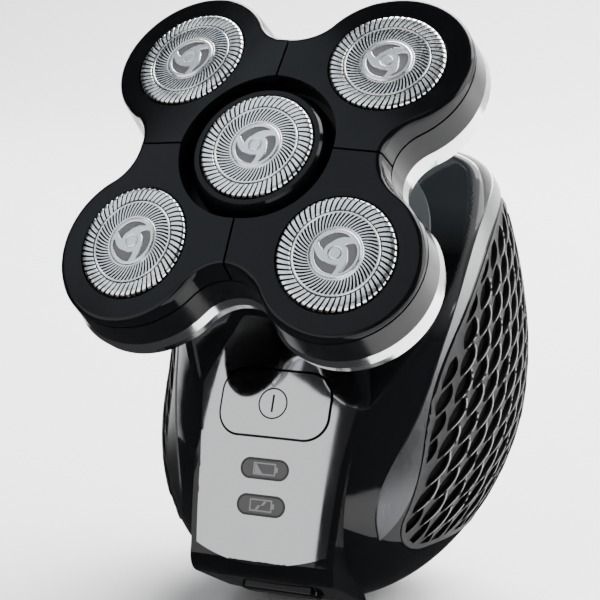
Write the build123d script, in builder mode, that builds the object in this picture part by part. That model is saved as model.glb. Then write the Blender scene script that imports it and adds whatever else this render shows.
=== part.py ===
"""Palm-held electric shaver with five rotary cutters on a lobed, pull-off head.

Units are millimetres. +Z is up, -Y is the front (the side with the power button) and +X is
the right. The origin is the centre of the small flat that the handle stands on.
"""
import os
from math import cos, pi, radians, sin, sqrt

from build123d import *

os.makedirs("parts", exist_ok=True)

# ---- driving dimensions -------------------------------------------------------------------

# handle: a round palm body whose level sections are circles, leaning back from its base
WIDEST = 35.4            # largest half width
WIDEST_Z = 37.0
DEPTH_BELOW = 38.5       # semi-axis of the body below its widest level
HEIGHT_ABOVE = 70.0      # the same above it
CROWN_Z = 66.0           # level at which the top starts to round over
TOP_Z = 85.8
LEAN = 7.5               # how far the section centres swing to either side of their mean
LEAN_Z = 26.0
LEAN_HALF_WAVE = 50.0
WALL = 2.4
SEAT = 1.8               # depth of the grip and trim seats
FIT = 0.05               # gap round pieces that are seated in one another

# head: five cutters on a lobed body whose axis leans forward
HEAD_CENTRE = (0, -27.2, 86.8)
HEAD_LEAN = 53.7
CUTTER_OFFSET = 19.4     # outer cutters stand at plus and minus this, both ways
POD_TILT = 8.4           # outward tilt of each outer cutter
HUB_RISE = 2.0           # the centre cutter stands this much higher
LOBE = 14.1              # radius of a lobe at the top of the head
WAIST = 22.9             # distance from the axis to the waist between lobes
DECK_DEPTH = 35.0        # from the cutters' plane down to the handle's sloping deck
HEAD_PULL = 18.0         # travel that frees the head from the neck

# front panel: a crowned strip up the front of the handle
PANEL_ORIGIN = (0, -25.3, 30.0)
PANEL_LEAN = 16.7
PANEL_ARC = 128.0        # radius of the panel from bottom to top
PANEL_CROWN = 55.0       # radius of the panel from side to side
PANEL_THICK = 1.2
SPINE_BORDER = 1.3       # black border round the silver panel

# power button, windows, charging inlet
BUTTON_W, BUTTON_H, BUTTON_R = 21.6, 12.2, 4.4
BUTTON_V = 11.0
BUTTON_GAP = 0.2
WINDOW_W, WINDOW_H = 9.6, 3.8
WINDOW_V = (-1.0, -7.6)  # low-battery window above the charging window
INLET_R = 1.75
INLET_LENGTH = 7.0

# cutters and gears
CAP_R = 10.5
GEAR_OFFSET = 26.3       # distance from the centre gear to each outer gear
CENTRE_TEETH = 44
OUTER_TEETH = 24

# ---- planes ------------------------------------------------------------------------------

lean = radians(HEAD_LEAN)
HEAD = Plane(origin=HEAD_CENTRE, x_dir=(1, 0, 0), z_dir=(0, -sin(lean), cos(lean)))
DECK = HEAD.offset(-DECK_DEPTH)
panel_lean = radians(PANEL_LEAN)
PANEL = Plane(origin=PANEL_ORIGIN, x_dir=(1, 0, 0), z_dir=(0, -cos(panel_lean), sin(panel_lean)))
# section through the middle of the panel: x runs up the panel, y out of it
PANEL_SIDE = Plane(origin=PANEL_ORIGIN, x_dir=PANEL.y_dir, z_dir=(1, 0, 0))

LOBES = {"upper_right": 45, "upper_left": 135, "lower_left": 225, "lower_right": 315}


def on_head(angle, radius):
    """A point of the head's own plane, in its local coordinates."""
    return (radius * cos(radians(angle)), radius * sin(radians(angle)))


def pod_plane(angle):
    """The plane of an outer cutter's cap: x points outwards and z is the cutter's axis."""
    outward = HEAD.x_dir * cos(radians(angle)) + HEAD.y_dir * sin(radians(angle))
    tilt = radians(POD_TILT)
    return Plane(
        origin=HEAD.origin + outward * (CUTTER_OFFSET * sqrt(2)),
        x_dir=outward * cos(tilt) - HEAD.z_dir * sin(tilt),
        z_dir=HEAD.z_dir * cos(tilt) + outward * sin(tilt),
    )


PODS = {place: pod_plane(angle) for place, angle in LOBES.items()}
PODS["centre"] = HEAD.offset(HUB_RISE)


def save(builder, name):
    """Label a finished piece and write it as its own STEP file."""
    builder.part.label = name
    export_step(builder.part, f"parts/{name}.step")


# ---- the handle's outer form ----------------------------------------------------------------


def section_centre(z):
    """Y of a level section's centre."""
    swing = min(max(z, 0), LEAN_Z + LEAN_HALF_WAVE / 2) - LEAN_Z
    return LEAN + LEAN * sin(pi * swing / LEAN_HALF_WAVE)


def section_radii(z, inset):
    """Half width and half depth of a level section."""
    semi_axis = (DEPTH_BELOW if z < WIDEST_Z else HEIGHT_ABOVE) - inset
    radius = (WIDEST - inset) * sqrt(1 - ((z - WIDEST_Z) / semi_axis) ** 2)
    crown = max(0, (z - CROWN_Z) / (TOP_Z - inset - CROWN_Z))
    return radius * sqrt(1 - crown**12), radius * sqrt(1 - crown**2.5)


def palm_form(inset):
    """The palm body, drawn in by an inset all over."""
    top = TOP_Z - inset
    levels = [max(inset, 0) + rise for rise in (0, 1.2, 3.5, 8)] + [16, 26, 37, 48, 58, 66]
    levels += [top - drop for drop in (13.5, 9, 6, 3.6, 1.8, 0.7, 0.15)]
    with BuildPart() as form:
        for z in levels:
            half_width, half_depth = section_radii(z, inset)
            with BuildSketch(Plane.XY.offset(z)):
                with Locations((0, section_centre(z))):
                    Ellipse(half_width, half_depth)
        loft()
    return form.part


def front_form(inset):
    """The crowned front: the panel's and chin's profile turned about an axis behind them."""
    arc = PANEL_ARC - inset

    def on_arc(v):
        """The point of the panel's arc that lies a distance v up the panel."""
        return (v * arc / PANEL_ARC, sqrt(PANEL_ARC**2 - v**2) * arc / PANEL_ARC - PANEL_ARC)

    top, bottom = on_arc(40), on_arc(-17.5)
    chin = (-20.9 + inset, -4.5 - 0.16 * inset)
    base_edge = (-24.2 + inset, -23.8 - 0.16 * inset)
    axis_foot, axis_top = (base_edge[0], -PANEL_CROWN), (top[0], -PANEL_CROWN)
    with BuildPart() as form:
        with BuildSketch(PANEL_SIDE):
            with BuildLine():
                ThreePointArc(top, on_arc(0), bottom)
                TangentArc(bottom, chin, tangent=(-1, -0.14))
                Polyline(chin, base_edge, axis_foot, axis_top, top)
            make_face()
        revolve(axis=Axis(PANEL.origin - PANEL.z_dir * PANEL_CROWN, PANEL.y_dir))
    return form.part


def panel_outline(border, top=27.0):
    """The panel's outline with a border round it, to be added on the panel's plane."""
    side = [(13 + border, -15.5), (14 + border, 0.5), (15.9 + border, 14.1), (9.5 + border, top)]
    with BuildSketch() as outline:
        with BuildLine():
            Polyline(side)
            Polyline([(-x, v) for x, v in side])
            Line(side[-1], (-side[-1][0], side[-1][1]))
            ThreePointArc(side[0], (0, -18.3 - border), (-side[0][0], side[0][1]))
        make_face()
    return outline.sketch


# edges of the trim, seen from the side, from its lower tip to the top
TRIM_TIP = (-19.2, 16.3)
TRIM_FRONT = [TRIM_TIP, (-20.4, 21), (-12.9, 38), (-3.9, 56.6), (5.6, 70.8), (18, 79), (34, 86)]
TRIM_BACK = [TRIM_TIP, (-16.9, 21.5), (-11.4, 38.4), (-2, 56.6), (8.6, 69.6), (20, 76), (36, 81)]
GRIP_FRONT = [(-16.5, 20.5), (-10.9, 38.4), (-1.4, 56.6), (9.3, 69.2), (20.5, 75.2)]
GRIP_CORNER, GRIP_FOOT = (-15.4, 15.4), (-9.5, 13.4)
GRIP_UNDER = [(10, 15), (27, 21.5), (60, 42), (60, 58), GRIP_FRONT[-1]]
BACKBONE = 8.5           # half width of the bare strip between the grips


with BuildPart() as rear_side:
    with BuildSketch(Plane.YZ):
        with BuildLine():
            Spline(TRIM_FRONT)
            Polyline(TRIM_FRONT[-1], (70, 100), (70, -10), (-9.5, -10), (-9.5, -1), (-14.5, 7), TRIM_TIP)
        make_face()
    extrude(amount=60, both=True)

with BuildPart() as trim_side:
    with BuildSketch(Plane.YZ):
        with BuildLine():
            Spline(TRIM_FRONT)
            Spline(TRIM_BACK)
            Line(TRIM_FRONT[-1], TRIM_BACK[-1])
        make_face()
    extrude(amount=60, both=True)

with BuildPart() as grip_side:
    with BuildSketch(Plane.YZ):
        with BuildLine():
            Spline(GRIP_FRONT)
            ThreePointArc(GRIP_FRONT[0], GRIP_CORNER, GRIP_FOOT)
            Polyline([GRIP_FOOT] + GRIP_UNDER)
        make_face()
    extrude(amount=60, both=True)
    with BuildSketch(Plane.XZ.offset(-70)):
        Rectangle(2 * BACKBONE, 200)
    extrude(amount=60, mode=Mode.SUBTRACT)

palm = palm_form(0)
palm_seat = palm_form(SEAT)
crowned = front_form(0)

with BuildPart() as spine:
    with BuildSketch(PANEL.offset(4)):
        add(panel_outline(SPINE_BORDER, top=33.0))
        with Locations((0, -25)):
            Rectangle(2 * (13 + SPINE_BORDER), 21)
    extrude(amount=-26)
    add(crowned, mode=Mode.INTERSECT)
    split(bisect_by=Plane.XY, keep=Keep.TOP)

with BuildPart() as spine_hollow:
    with BuildSketch(PANEL.offset(4)):
        add(panel_outline(-1.6, top=24.0))
    extrude(amount=-24)
    add(front_form(PANEL_THICK + 1.6), mode=Mode.INTERSECT)

with BuildPart() as hollow:
    add(palm_form(WALL))
    split(bisect_by=DECK.offset(-WALL), keep=Keep.BOTTOM)
    add(spine_hollow.part)

# ---- the whole casing, before it is parted -------------------------------------------------

NECK_R = 14.0
NECK_TOP = -20.5         # levels along the head's axis, from the cutters' plane
SPIGOT_R = 12.2
SPIGOT_TOP = -16.2
SHAFT_R = 1.6
SHAFT_HOLE_R = 4.1
POST_R = 3.4
SCREW_R = 0.9            # shank of the small screws inside
SCREW_HOLE_R = 0.95
POST_MEET = -50.0        # where the front and rear screw posts meet
POSTS = [(x, y) for x, y in ((24.5, -9.0), (22.0, 11.0), (-22.0, 11.0), (-24.5, -9.0))]
STANDOFFS = [(x, v) for x in (-6.5, 6.5) for v in (-10.6, 19.8)]
BRACKET_SCREW_CIRCLE = 14.0
BOARD_FRONT = -6.0       # depth of the circuit board's front face behind the panel
BOARD_W, BOARD_H, BOARD_THICK = 16.0, 34.0, 1.2

with BuildPart() as casing:
    add(palm)
    split(bisect_by=DECK, keep=Keep.BOTTOM)
    rim = casing.faces().sort_by(Axis(HEAD.origin, HEAD.z_dir))[-1]
    fillet(rim.edges(), 3.2)
    add(spine.part)
    add(hollow.part, mode=Mode.SUBTRACT)
    with BuildSketch(HEAD.offset(NECK_TOP)):
        Circle(NECK_R)
    extrude(amount=-(DECK_DEPTH + WALL + NECK_TOP))
    with BuildSketch(HEAD.offset(SPIGOT_TOP)):
        Circle(SPIGOT_R)
    extrude(amount=-6)
    with BuildSketch(HEAD.offset(SPIGOT_TOP)):
        Circle(SHAFT_HOLE_R)
    extrude(amount=-30, mode=Mode.SUBTRACT)
    with BuildSketch(DECK.offset(-WALL)):
        with PolarLocations(BRACKET_SCREW_CIRCLE, 3, start_angle=90):
            Circle(SCREW_R)
    extrude(amount=1.9, mode=Mode.SUBTRACT)

# ---- front panel and what sits in it -------------------------------------------------------


def button_outline(grow):
    """The power button's outline, to be added on the panel's plane."""
    with BuildSketch() as outline:
        with Locations((0, BUTTON_V)):
            RectangleRounded(BUTTON_W + 2 * grow, BUTTON_H + 2 * grow, BUTTON_R + grow)
    return outline.sketch


def window_outline(grow, v):
    """An indicator window's outline, to be added on the panel's plane."""
    with BuildSketch() as outline:
        with Locations((0, v)):
            SlotOverall(WINDOW_W + 2 * grow, WINDOW_H + 2 * grow)
    return outline.sketch


def panel_plug(outline, front, back):
    """A prism through the panel, crowned in front and behind at two depths below its face."""
    with BuildPart() as plug:
        with BuildSketch(PANEL.offset(4)):
            add(outline)
        extrude(amount=-16)
        add(front_form(front), mode=Mode.INTERSECT)
        add(front_form(back), mode=Mode.SUBTRACT)
    return plug.part


panel_seat = panel_plug(panel_outline(FIT), -3, PANEL_THICK + FIT)

with BuildPart() as front_panel:
    add(panel_plug(panel_outline(0), 0, PANEL_THICK))
    with BuildSketch(PANEL.offset(4)):
        add(button_outline(BUTTON_GAP))
        for v in WINDOW_V:
            add(window_outline(FIT, v))
    extrude(amount=-12, mode=Mode.SUBTRACT)
save(front_panel, "front_panel")

with BuildPart() as power_button:
    add(panel_plug(button_outline(0), -0.15, 1.6))
    add(panel_plug(button_outline(0.9), 1.45, 2.3))
save(power_button, "power_button")

for window, v in zip(("low_battery_window", "charging_window"), WINDOW_V):
    with BuildPart() as lens:
        add(panel_plug(window_outline(0, v), 0.05, 2.7))
    save(lens, window)

with BuildPart() as circuit_board:
    with BuildSketch(PANEL.offset(BOARD_FRONT)):
        with Locations((0, 5)):
            RectangleRounded(BOARD_W, BOARD_H, 1.5)
    extrude(amount=-BOARD_THICK)
save(circuit_board, "circuit_board")

with BuildPart() as tact_switch:
    with BuildSketch(PANEL.offset(BOARD_FRONT)):
        with Locations((0, BUTTON_V)):
            Rectangle(6, 6)
    extrude(amount=1.4)
    with BuildSketch(PANEL.offset(BOARD_FRONT + 1.4)):
        with Locations((0, BUTTON_V)):
            Circle(1.6)
    extrude(amount=1.1)
save(tact_switch, "tact_switch")

with BuildPart() as indicator_leds:
    with BuildSketch(PANEL.offset(BOARD_FRONT)):
        with Locations(*[(x, v) for v in WINDOW_V for x in (-2.2, 2.2)]):
            Rectangle(2.0, 1.4)
    extrude(amount=0.9)
save(indicator_leds, "indicator_leds")

# ---- charging inlet and its flap, under the chin ---------------------------------------------

CHIN = Plane(origin=(0, -21.3, 5.95), x_dir=(1, 0, 0), z_dir=(0, -0.443, -0.896))
FLAP_HALF = 8.5
FLAP_REAR, FLAP_FRONT = -4.2, 6.1
FLAP_DEPTH = 2.0
HINGE_Y, HINGE_DEPTH = 4.6, 1.4
PIN_R = 0.5
PIN_HALF = 10.5
INLET_BODY_R = 3.4
TAB_Y, TAB_W, TAB_H, TAB_DEPTH = -4.0, 15.5, 4.6, 0.5
HINGE_LINE = Plane(
    origin=CHIN.from_local_coords((0, HINGE_Y, -HINGE_DEPTH)), x_dir=CHIN.y_dir, z_dir=(1, 0, 0)
)


def hinge_rod(radius, half):
    """A rod along the flap's hinge line."""
    with BuildPart() as rod:
        with BuildSketch(HINGE_LINE.offset(-half)):
            Circle(radius)
        extrude(amount=2 * half)
    return rod.part


with BuildPart() as inlet_hole:
    with BuildSketch(CHIN.offset(2)):
        Circle(INLET_BODY_R + FIT)
    extrude(amount=-14)

with BuildPart() as base_side:
    with BuildSketch(PANEL.offset(6)):
        with Locations((0, -30)):
            Rectangle(26, 32)
        add(panel_outline(0), mode=Mode.SUBTRACT)
    extrude(amount=-36)
    split(bisect_by=Plane.XZ.offset(10.2), keep=Keep.TOP)

with BuildPart() as base_cover:
    add(casing.part)
    add(base_side.part, mode=Mode.INTERSECT)
    with BuildSketch(CHIN.offset(4)):
        with Locations((0, (FLAP_REAR + FLAP_FRONT) / 2)):
            Rectangle(2 * (FLAP_HALF + 0.3), FLAP_FRONT - FLAP_REAR + 0.6)
    extrude(amount=-4 - FLAP_DEPTH - 0.3, mode=Mode.SUBTRACT)
    with BuildSketch(CHIN.offset(4)):
        with Locations((0, TAB_Y)):
            RectangleRounded(TAB_W + 0.6, TAB_H + 0.6, 1.7)
    extrude(amount=-4 - TAB_DEPTH - 0.3, mode=Mode.SUBTRACT)
    add(hinge_rod(2.4, FLAP_HALF + 0.3), mode=Mode.SUBTRACT)
    add(inlet_hole.part, mode=Mode.SUBTRACT)
    add(hinge_rod(PIN_R, PIN_HALF), mode=Mode.SUBTRACT)
save(base_cover, "base_cover")

with BuildPart() as port_flap:
    with BuildSketch(CHIN.offset(4)):
        with Locations((0, (FLAP_REAR + FLAP_FRONT) / 2)):
            RectangleRounded(2 * FLAP_HALF, FLAP_FRONT - FLAP_REAR, 1.2)
    extrude(amount=-4 - FLAP_DEPTH)
    add(crowned, mode=Mode.INTERSECT)
    with BuildSketch(CHIN.offset(-TAB_DEPTH)):
        with Locations((0, TAB_Y)):
            RectangleRounded(TAB_W, TAB_H, 1.4)
    extrude(amount=TAB_DEPTH + 0.9)
    fillet(port_flap.faces().sort_by(Axis(CHIN.origin, CHIN.z_dir))[-1].edges(), 0.4)
    add(hinge_rod(PIN_R + FIT, FLAP_HALF), mode=Mode.SUBTRACT)
save(port_flap, "port_flap")

with BuildPart() as flap_pin:
    add(hinge_rod(PIN_R, PIN_HALF))
save(flap_pin, "flap_pin")

with BuildPart() as charging_inlet:
    with BuildSketch(CHIN.offset(-FLAP_DEPTH - 0.4)):
        Circle(INLET_BODY_R)
    extrude(amount=-9)
    with BuildSketch(CHIN.offset(-FLAP_DEPTH - 0.4)):
        Circle(INLET_R)
    extrude(amount=-INLET_LENGTH, mode=Mode.SUBTRACT)
save(charging_inlet, "charging_inlet")

# ---- shells, trim and grips ----------------------------------------------------------------

SHELL_SCREW_R = 1.1
SCREW_HEAD_R = 2.0
SCREW_SEAT = 4.0         # depth of the screw heads' seats below the rear posts' ends

with BuildPart() as front_shell:
    add(casing.part)
    with BuildSketch(DECK.offset(-WALL)):
        with Locations(*POSTS):
            Circle(POST_R)
    extrude(amount=POST_MEET + DECK_DEPTH + WALL)
    with BuildSketch(HEAD.offset(POST_MEET)):
        with Locations(*POSTS):
            Circle(SHELL_SCREW_R)
    extrude(amount=8, mode=Mode.SUBTRACT)
    add(rear_side.part, mode=Mode.SUBTRACT)
    with BuildSketch(PANEL.offset(BOARD_FRONT)):
        with Locations(*STANDOFFS):
            Circle(1.2)
    extrude(amount=-BOARD_FRONT - PANEL_THICK - 1)
    add(panel_seat, mode=Mode.SUBTRACT)
    with BuildSketch(PANEL.offset(4)):
        add(button_outline(1.4))
        for v in WINDOW_V:
            add(window_outline(FIT, v))
    extrude(amount=-9.5, mode=Mode.SUBTRACT)
    add(base_side.part, mode=Mode.SUBTRACT)
    add(hinge_rod(2.6, FLAP_HALF + 0.3), mode=Mode.SUBTRACT)
    add(inlet_hole.part, mode=Mode.SUBTRACT)
save(front_shell, "front_shell")

with BuildPart() as outer_skin:
    add(palm_form(-0.2))
    add(palm_seat, mode=Mode.SUBTRACT)

with BuildPart() as grip_trim:
    add(outer_skin.part)
    add(trim_side.part, mode=Mode.INTERSECT)
save(grip_trim, "grip_trim")

for grip, sign in (("right_grip", 1), ("left_grip", -1)):
    with BuildPart() as pad:
        add(outer_skin.part)
        add(grip_side.part, mode=Mode.INTERSECT)
        split(bisect_by=Plane.YZ, keep=Keep.TOP if sign > 0 else Keep.BOTTOM)
    save(pad, grip)

with BuildPart() as rear_shell:
    add(casing.part)
    with BuildSketch(HEAD.offset(POST_MEET - 0.3)):
        with Locations(*POSTS):
            Circle(POST_R)
    extrude(amount=-50)
    with BuildSketch(HEAD.offset(POST_MEET)):
        with Locations(*POSTS):
            Circle(SHELL_SCREW_R + 0.15)
    extrude(amount=-SCREW_SEAT - 1, mode=Mode.SUBTRACT)
    with BuildSketch(HEAD.offset(POST_MEET - SCREW_SEAT)):
        with Locations(*POSTS):
            Circle(SCREW_HEAD_R + 0.3)
    extrude(amount=-50, mode=Mode.SUBTRACT)
    add(palm, mode=Mode.INTERSECT)
    add(rear_side.part, mode=Mode.INTERSECT)
    add(base_side.part, mode=Mode.SUBTRACT)
    add(grip_trim.part, mode=Mode.SUBTRACT)
    add(outer_skin.part.intersect(grip_side.part), mode=Mode.SUBTRACT)
save(rear_shell, "rear_shell")

with BuildPart() as shell_screws:
    with BuildSketch(HEAD.offset(POST_MEET - SCREW_SEAT)):
        with Locations(*POSTS):
            Circle(SHELL_SCREW_R)
    extrude(amount=SCREW_SEAT + 6)
    with BuildSketch(HEAD.offset(POST_MEET - SCREW_SEAT)):
        with Locations(*POSTS):
            Circle(SCREW_HEAD_R)
    extrude(amount=-1.6)
    with BuildSketch(HEAD.offset(POST_MEET - SCREW_SEAT - 1.6)):
        with Locations(*POSTS):
            Rectangle(2.6, 0.6)
            Rectangle(0.6, 2.6)
    extrude(amount=0.8, mode=Mode.SUBTRACT)
save(shell_screws, "shell_screws")

COLLAR_R = 21.0
COLLAR_SHIFT = 1.5       # the collar's centre lies this far above the neck's
COLLAR_THICK = 0.9

with BuildPart() as neck_collar:
    with BuildSketch(DECK):
        with Locations((0, COLLAR_SHIFT)):
            Circle(COLLAR_R)
        Circle(NECK_R, mode=Mode.SUBTRACT)
    extrude(amount=COLLAR_THICK)
    add(spine.part, mode=Mode.SUBTRACT)
save(neck_collar, "neck_collar")

# ---- motor, battery and drive shaft ------------------------------------------------------------

MOTOR_R = 10.4
MOTOR_TOP = -40.2
MOTOR_LENGTH = 26.0
BRACKET_R = 16.4
BRACKET_THICK = 1.4
BATTERY_R = 7.1
BATTERY_LENGTH = 38.0
BATTERY_CENTRE = (0, 20.0, 30.0)
HEX_R = 1.9              # the shaft's hexagonal tip, over corners
HEX_LENGTH = 2.4
SHAFT_TIP = -11.3

with BuildPart() as motor_bracket:
    with BuildSketch(DECK.offset(-WALL)):
        Circle(BRACKET_R)
        Circle(SHAFT_HOLE_R, mode=Mode.SUBTRACT)
        with PolarLocations(BRACKET_SCREW_CIRCLE, 3, start_angle=90):
            Circle(SCREW_HOLE_R, mode=Mode.SUBTRACT)
    extrude(amount=-BRACKET_THICK)
    with BuildSketch(DECK.offset(-WALL - BRACKET_THICK)):
        Circle(MOTOR_R + 1.3)
        Circle(MOTOR_R + FIT, mode=Mode.SUBTRACT)
    extrude(amount=-7)
save(motor_bracket, "motor_bracket")

with BuildPart() as bracket_screws:
    with BuildSketch(DECK.offset(-WALL - BRACKET_THICK)):
        with PolarLocations(BRACKET_SCREW_CIRCLE, 3, start_angle=90):
            Circle(1.7)
    extrude(amount=-1.2)
    with BuildSketch(DECK.offset(-WALL - BRACKET_THICK)):
        with PolarLocations(BRACKET_SCREW_CIRCLE, 3, start_angle=90):
            Circle(SCREW_R)
    extrude(amount=3.2)
save(bracket_screws, "bracket_screws")

with BuildPart() as motor:
    with BuildSketch(HEAD.offset(MOTOR_TOP)):
        Circle(MOTOR_R)
    extrude(amount=-MOTOR_LENGTH)
    fillet(motor.edges(), 0.8)
    with BuildSketch(HEAD.offset(MOTOR_TOP + 1.0)):
        Circle(3.0)
    extrude(amount=-2)
    with BuildSketch(HEAD.offset(MOTOR_TOP - MOTOR_LENGTH)):
        with Locations((-6, 0), (6, 0)):
            Rectangle(0.5, 2.2)
    extrude(amount=-2.5)
    with BuildSketch(HEAD.offset(MOTOR_TOP + 1.0)):
        Circle(SHAFT_R + FIT)
    extrude(amount=-8, mode=Mode.SUBTRACT)
save(motor, "motor")

with BuildPart() as drive_shaft:
    with BuildSketch(HEAD.offset(SHAFT_TIP)):
        RegularPolygon(HEX_R, 6)
    extrude(amount=-HEX_LENGTH)
    with BuildSketch(HEAD.offset(SHAFT_TIP - HEX_LENGTH)):
        Circle(SHAFT_R)
    extrude(amount=MOTOR_TOP - 5 - SHAFT_TIP + HEX_LENGTH)
save(drive_shaft, "drive_shaft")

with BuildPart() as shaft_seal:
    with BuildSketch(HEAD.offset(-22)):
        Circle(SHAFT_HOLE_R - 0.02)
        Circle(SHAFT_R + FIT, mode=Mode.SUBTRACT)
    extrude(amount=-2.2)
save(shaft_seal, "shaft_seal")

battery_axis = Plane(origin=BATTERY_CENTRE, x_dir=(0, 1, 0), z_dir=(1, 0, 0))
with BuildPart() as battery_cell:
    with BuildSketch(battery_axis.offset(-BATTERY_LENGTH / 2)):
        Circle(BATTERY_R)
    extrude(amount=BATTERY_LENGTH)
    fillet(battery_cell.edges(), 0.6)
save(battery_cell, "battery_cell")

with BuildPart() as battery_tabs:
    for end in (-BATTERY_LENGTH / 2 - 0.4, BATTERY_LENGTH / 2):
        with BuildSketch(battery_axis.offset(end)):
            Circle(4.5)
            with Locations((-5, 0)):
                Rectangle(8, 3)
        extrude(amount=0.4)
save(battery_tabs, "battery_tabs")

# ---- the head's fixed parts ----------------------------------------------------------------------

PETAL_FOOT = -3.6        # levels along the head's axis, from the cutters' plane
BASE_RIM = -4.1
BAND_TOP = -9.5
BAND_FOOT = -13.3
FLOOR = -12.9
BASE_FOOT = -14.6
SOCKET_FOOT = -19.8
PLATE_TOP = -8.4
PLATE_FOOT = -9.4
BEARING_R = 3.0
SCREW_CIRCLE = 20.3
HUB_HOLE_R = 14.7
HUB_FOOT = -3.4
FLEXURE_R, FLEXURE_HOLE_R, FLEXURE_THICK = 22.2, 15.0, 0.3
FRAME_FOOT, FRAME_TOP = -5.6, -4.7
# round bars that the petals rock on, below each cap's plane and to both sides of it
PIVOT_LEVEL = -2.75
PIVOT_R = 0.75
PIVOT_OUT = 12.2
PIVOT_LENGTH = 1.8


def lobed_outline(grow):
    """The four-lobed outline of the head, grown by a margin, for planes across its axis."""
    lobe = LOBE + grow
    waist = WAIST + grow - CUTTER_OFFSET
    hollow = (waist**2 + CUTTER_OFFSET**2 - lobe**2) / (2 * (lobe - waist))
    corner = Vector(CUTTER_OFFSET, CUTTER_OFFSET)
    hollow_centre = Vector(CUTTER_OFFSET + waist + hollow, 0)
    meet = corner + (hollow_centre - corner).normalized() * lobe
    tip = corner + Vector(1, 1).normalized() * lobe
    with BuildSketch() as outline:
        with BuildLine():
            for turn in (0, 90, 180, 270):
                before, waist_point, after, far, end = (
                    Vector(*point).rotate(Axis.Z, turn)
                    for point in (
                        (meet.X, -meet.Y),
                        (CUTTER_OFFSET + waist, 0),
                        (meet.X, meet.Y),
                        (tip.X, tip.Y),
                        (meet.Y, meet.X),
                    )
                )
                ThreePointArc(before, waist_point, after)
                ThreePointArc(after, far, end)
        make_face()
    return outline.sketch


def lobed_block(*levels):
    """A solid through lobed outlines, each given as a level and a margin."""
    with BuildPart() as block:
        for level, grow in levels:
            with BuildSketch(HEAD.offset(level)):
                add(lobed_outline(grow))
        loft(ruled=True)
    return block.part


with BuildPart() as head_base:
    add(lobed_block((BASE_RIM, 1.0), (BAND_TOP, 1.4)))
    add(lobed_block((BAND_TOP, 0.3), (BAND_FOOT - 0.02, 0.3)))
    add(lobed_block((BAND_FOOT - 0.02, 1.0), (BASE_FOOT, -0.2)))
    add(lobed_block((BASE_RIM, -0.6), (FLOOR, -0.6)), mode=Mode.SUBTRACT)
    with BuildSketch(HEAD.offset(FLOOR)):
        with PolarLocations(SCREW_CIRCLE, 4):
            Circle(1.8)
    extrude(amount=PLATE_FOOT - FLOOR)
    with BuildSketch(HEAD.offset(PLATE_FOOT)):
        with PolarLocations(SCREW_CIRCLE, 4):
            Circle(SCREW_R)
    extrude(amount=-4, mode=Mode.SUBTRACT)
    with BuildSketch(HEAD.offset(BASE_FOOT)):
        Circle(NECK_R)
        Circle(SPIGOT_R + 0.3, mode=Mode.SUBTRACT)
    extrude(amount=SOCKET_FOOT - BASE_FOOT)
    with BuildSketch(HEAD.offset(FLOOR)):
        Circle(SHAFT_HOLE_R)
    extrude(amount=-4, mode=Mode.SUBTRACT)
save(head_base, "head_base")

with BuildPart() as rim_band:
    add(lobed_block((BAND_TOP - 0.03, 1.3), (-11.4, 1.75), (BAND_FOOT + 0.03, 1.4)))
    add(lobed_block((BAND_TOP + 1, 0.35), (BAND_FOOT - 1, 0.35)), mode=Mode.SUBTRACT)
save(rim_band, "rim_band")

outer_spindles = [on_head(angle, GEAR_OFFSET) for angle in LOBES.values()]

with BuildPart() as gear_plate:
    with BuildSketch(HEAD.offset(PLATE_FOOT)):
        add(lobed_outline(-0.9))
        with Locations((0, 0), *outer_spindles):
            Circle(BEARING_R + 0.08, mode=Mode.SUBTRACT)
        with PolarLocations(SCREW_CIRCLE, 4):
            Circle(SCREW_HOLE_R, mode=Mode.SUBTRACT)
    extrude(amount=PLATE_TOP - PLATE_FOOT)
save(gear_plate, "gear_plate")

with BuildPart() as gear_plate_screws:
    with BuildSketch(HEAD.offset(PLATE_TOP + FLEXURE_THICK)):
        with PolarLocations(SCREW_CIRCLE, 4):
            Circle(1.7)
    extrude(amount=1.0)
    with BuildSketch(HEAD.offset(PLATE_TOP + FLEXURE_THICK)):
        with PolarLocations(SCREW_CIRCLE, 4):
            Circle(SCREW_R)
    extrude(amount=-4.0)
save(gear_plate_screws, "gear_plate_screws")

# a thin steel sheet clamped under the gear plate's screws, which springs the cutters upwards
with BuildPart() as flexure_plate:
    with BuildSketch(HEAD.offset(PLATE_TOP)):
        Circle(FLEXURE_R)
        Circle(FLEXURE_HOLE_R, mode=Mode.SUBTRACT)
        with Locations(*outer_spindles):
            Circle(6.2)
            Circle(BEARING_R + 0.9, mode=Mode.SUBTRACT)
        with PolarLocations(SCREW_CIRCLE, 4):
            Circle(SCREW_HOLE_R, mode=Mode.SUBTRACT)
    extrude(amount=FLEXURE_THICK)
save(flexure_plate, "flexure_plate")

# the frame that the petals rock on: its legs stand on the gear plate
pod_centres = [on_head(angle, CUTTER_OFFSET * sqrt(2)) for angle in LOBES.values()]

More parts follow.
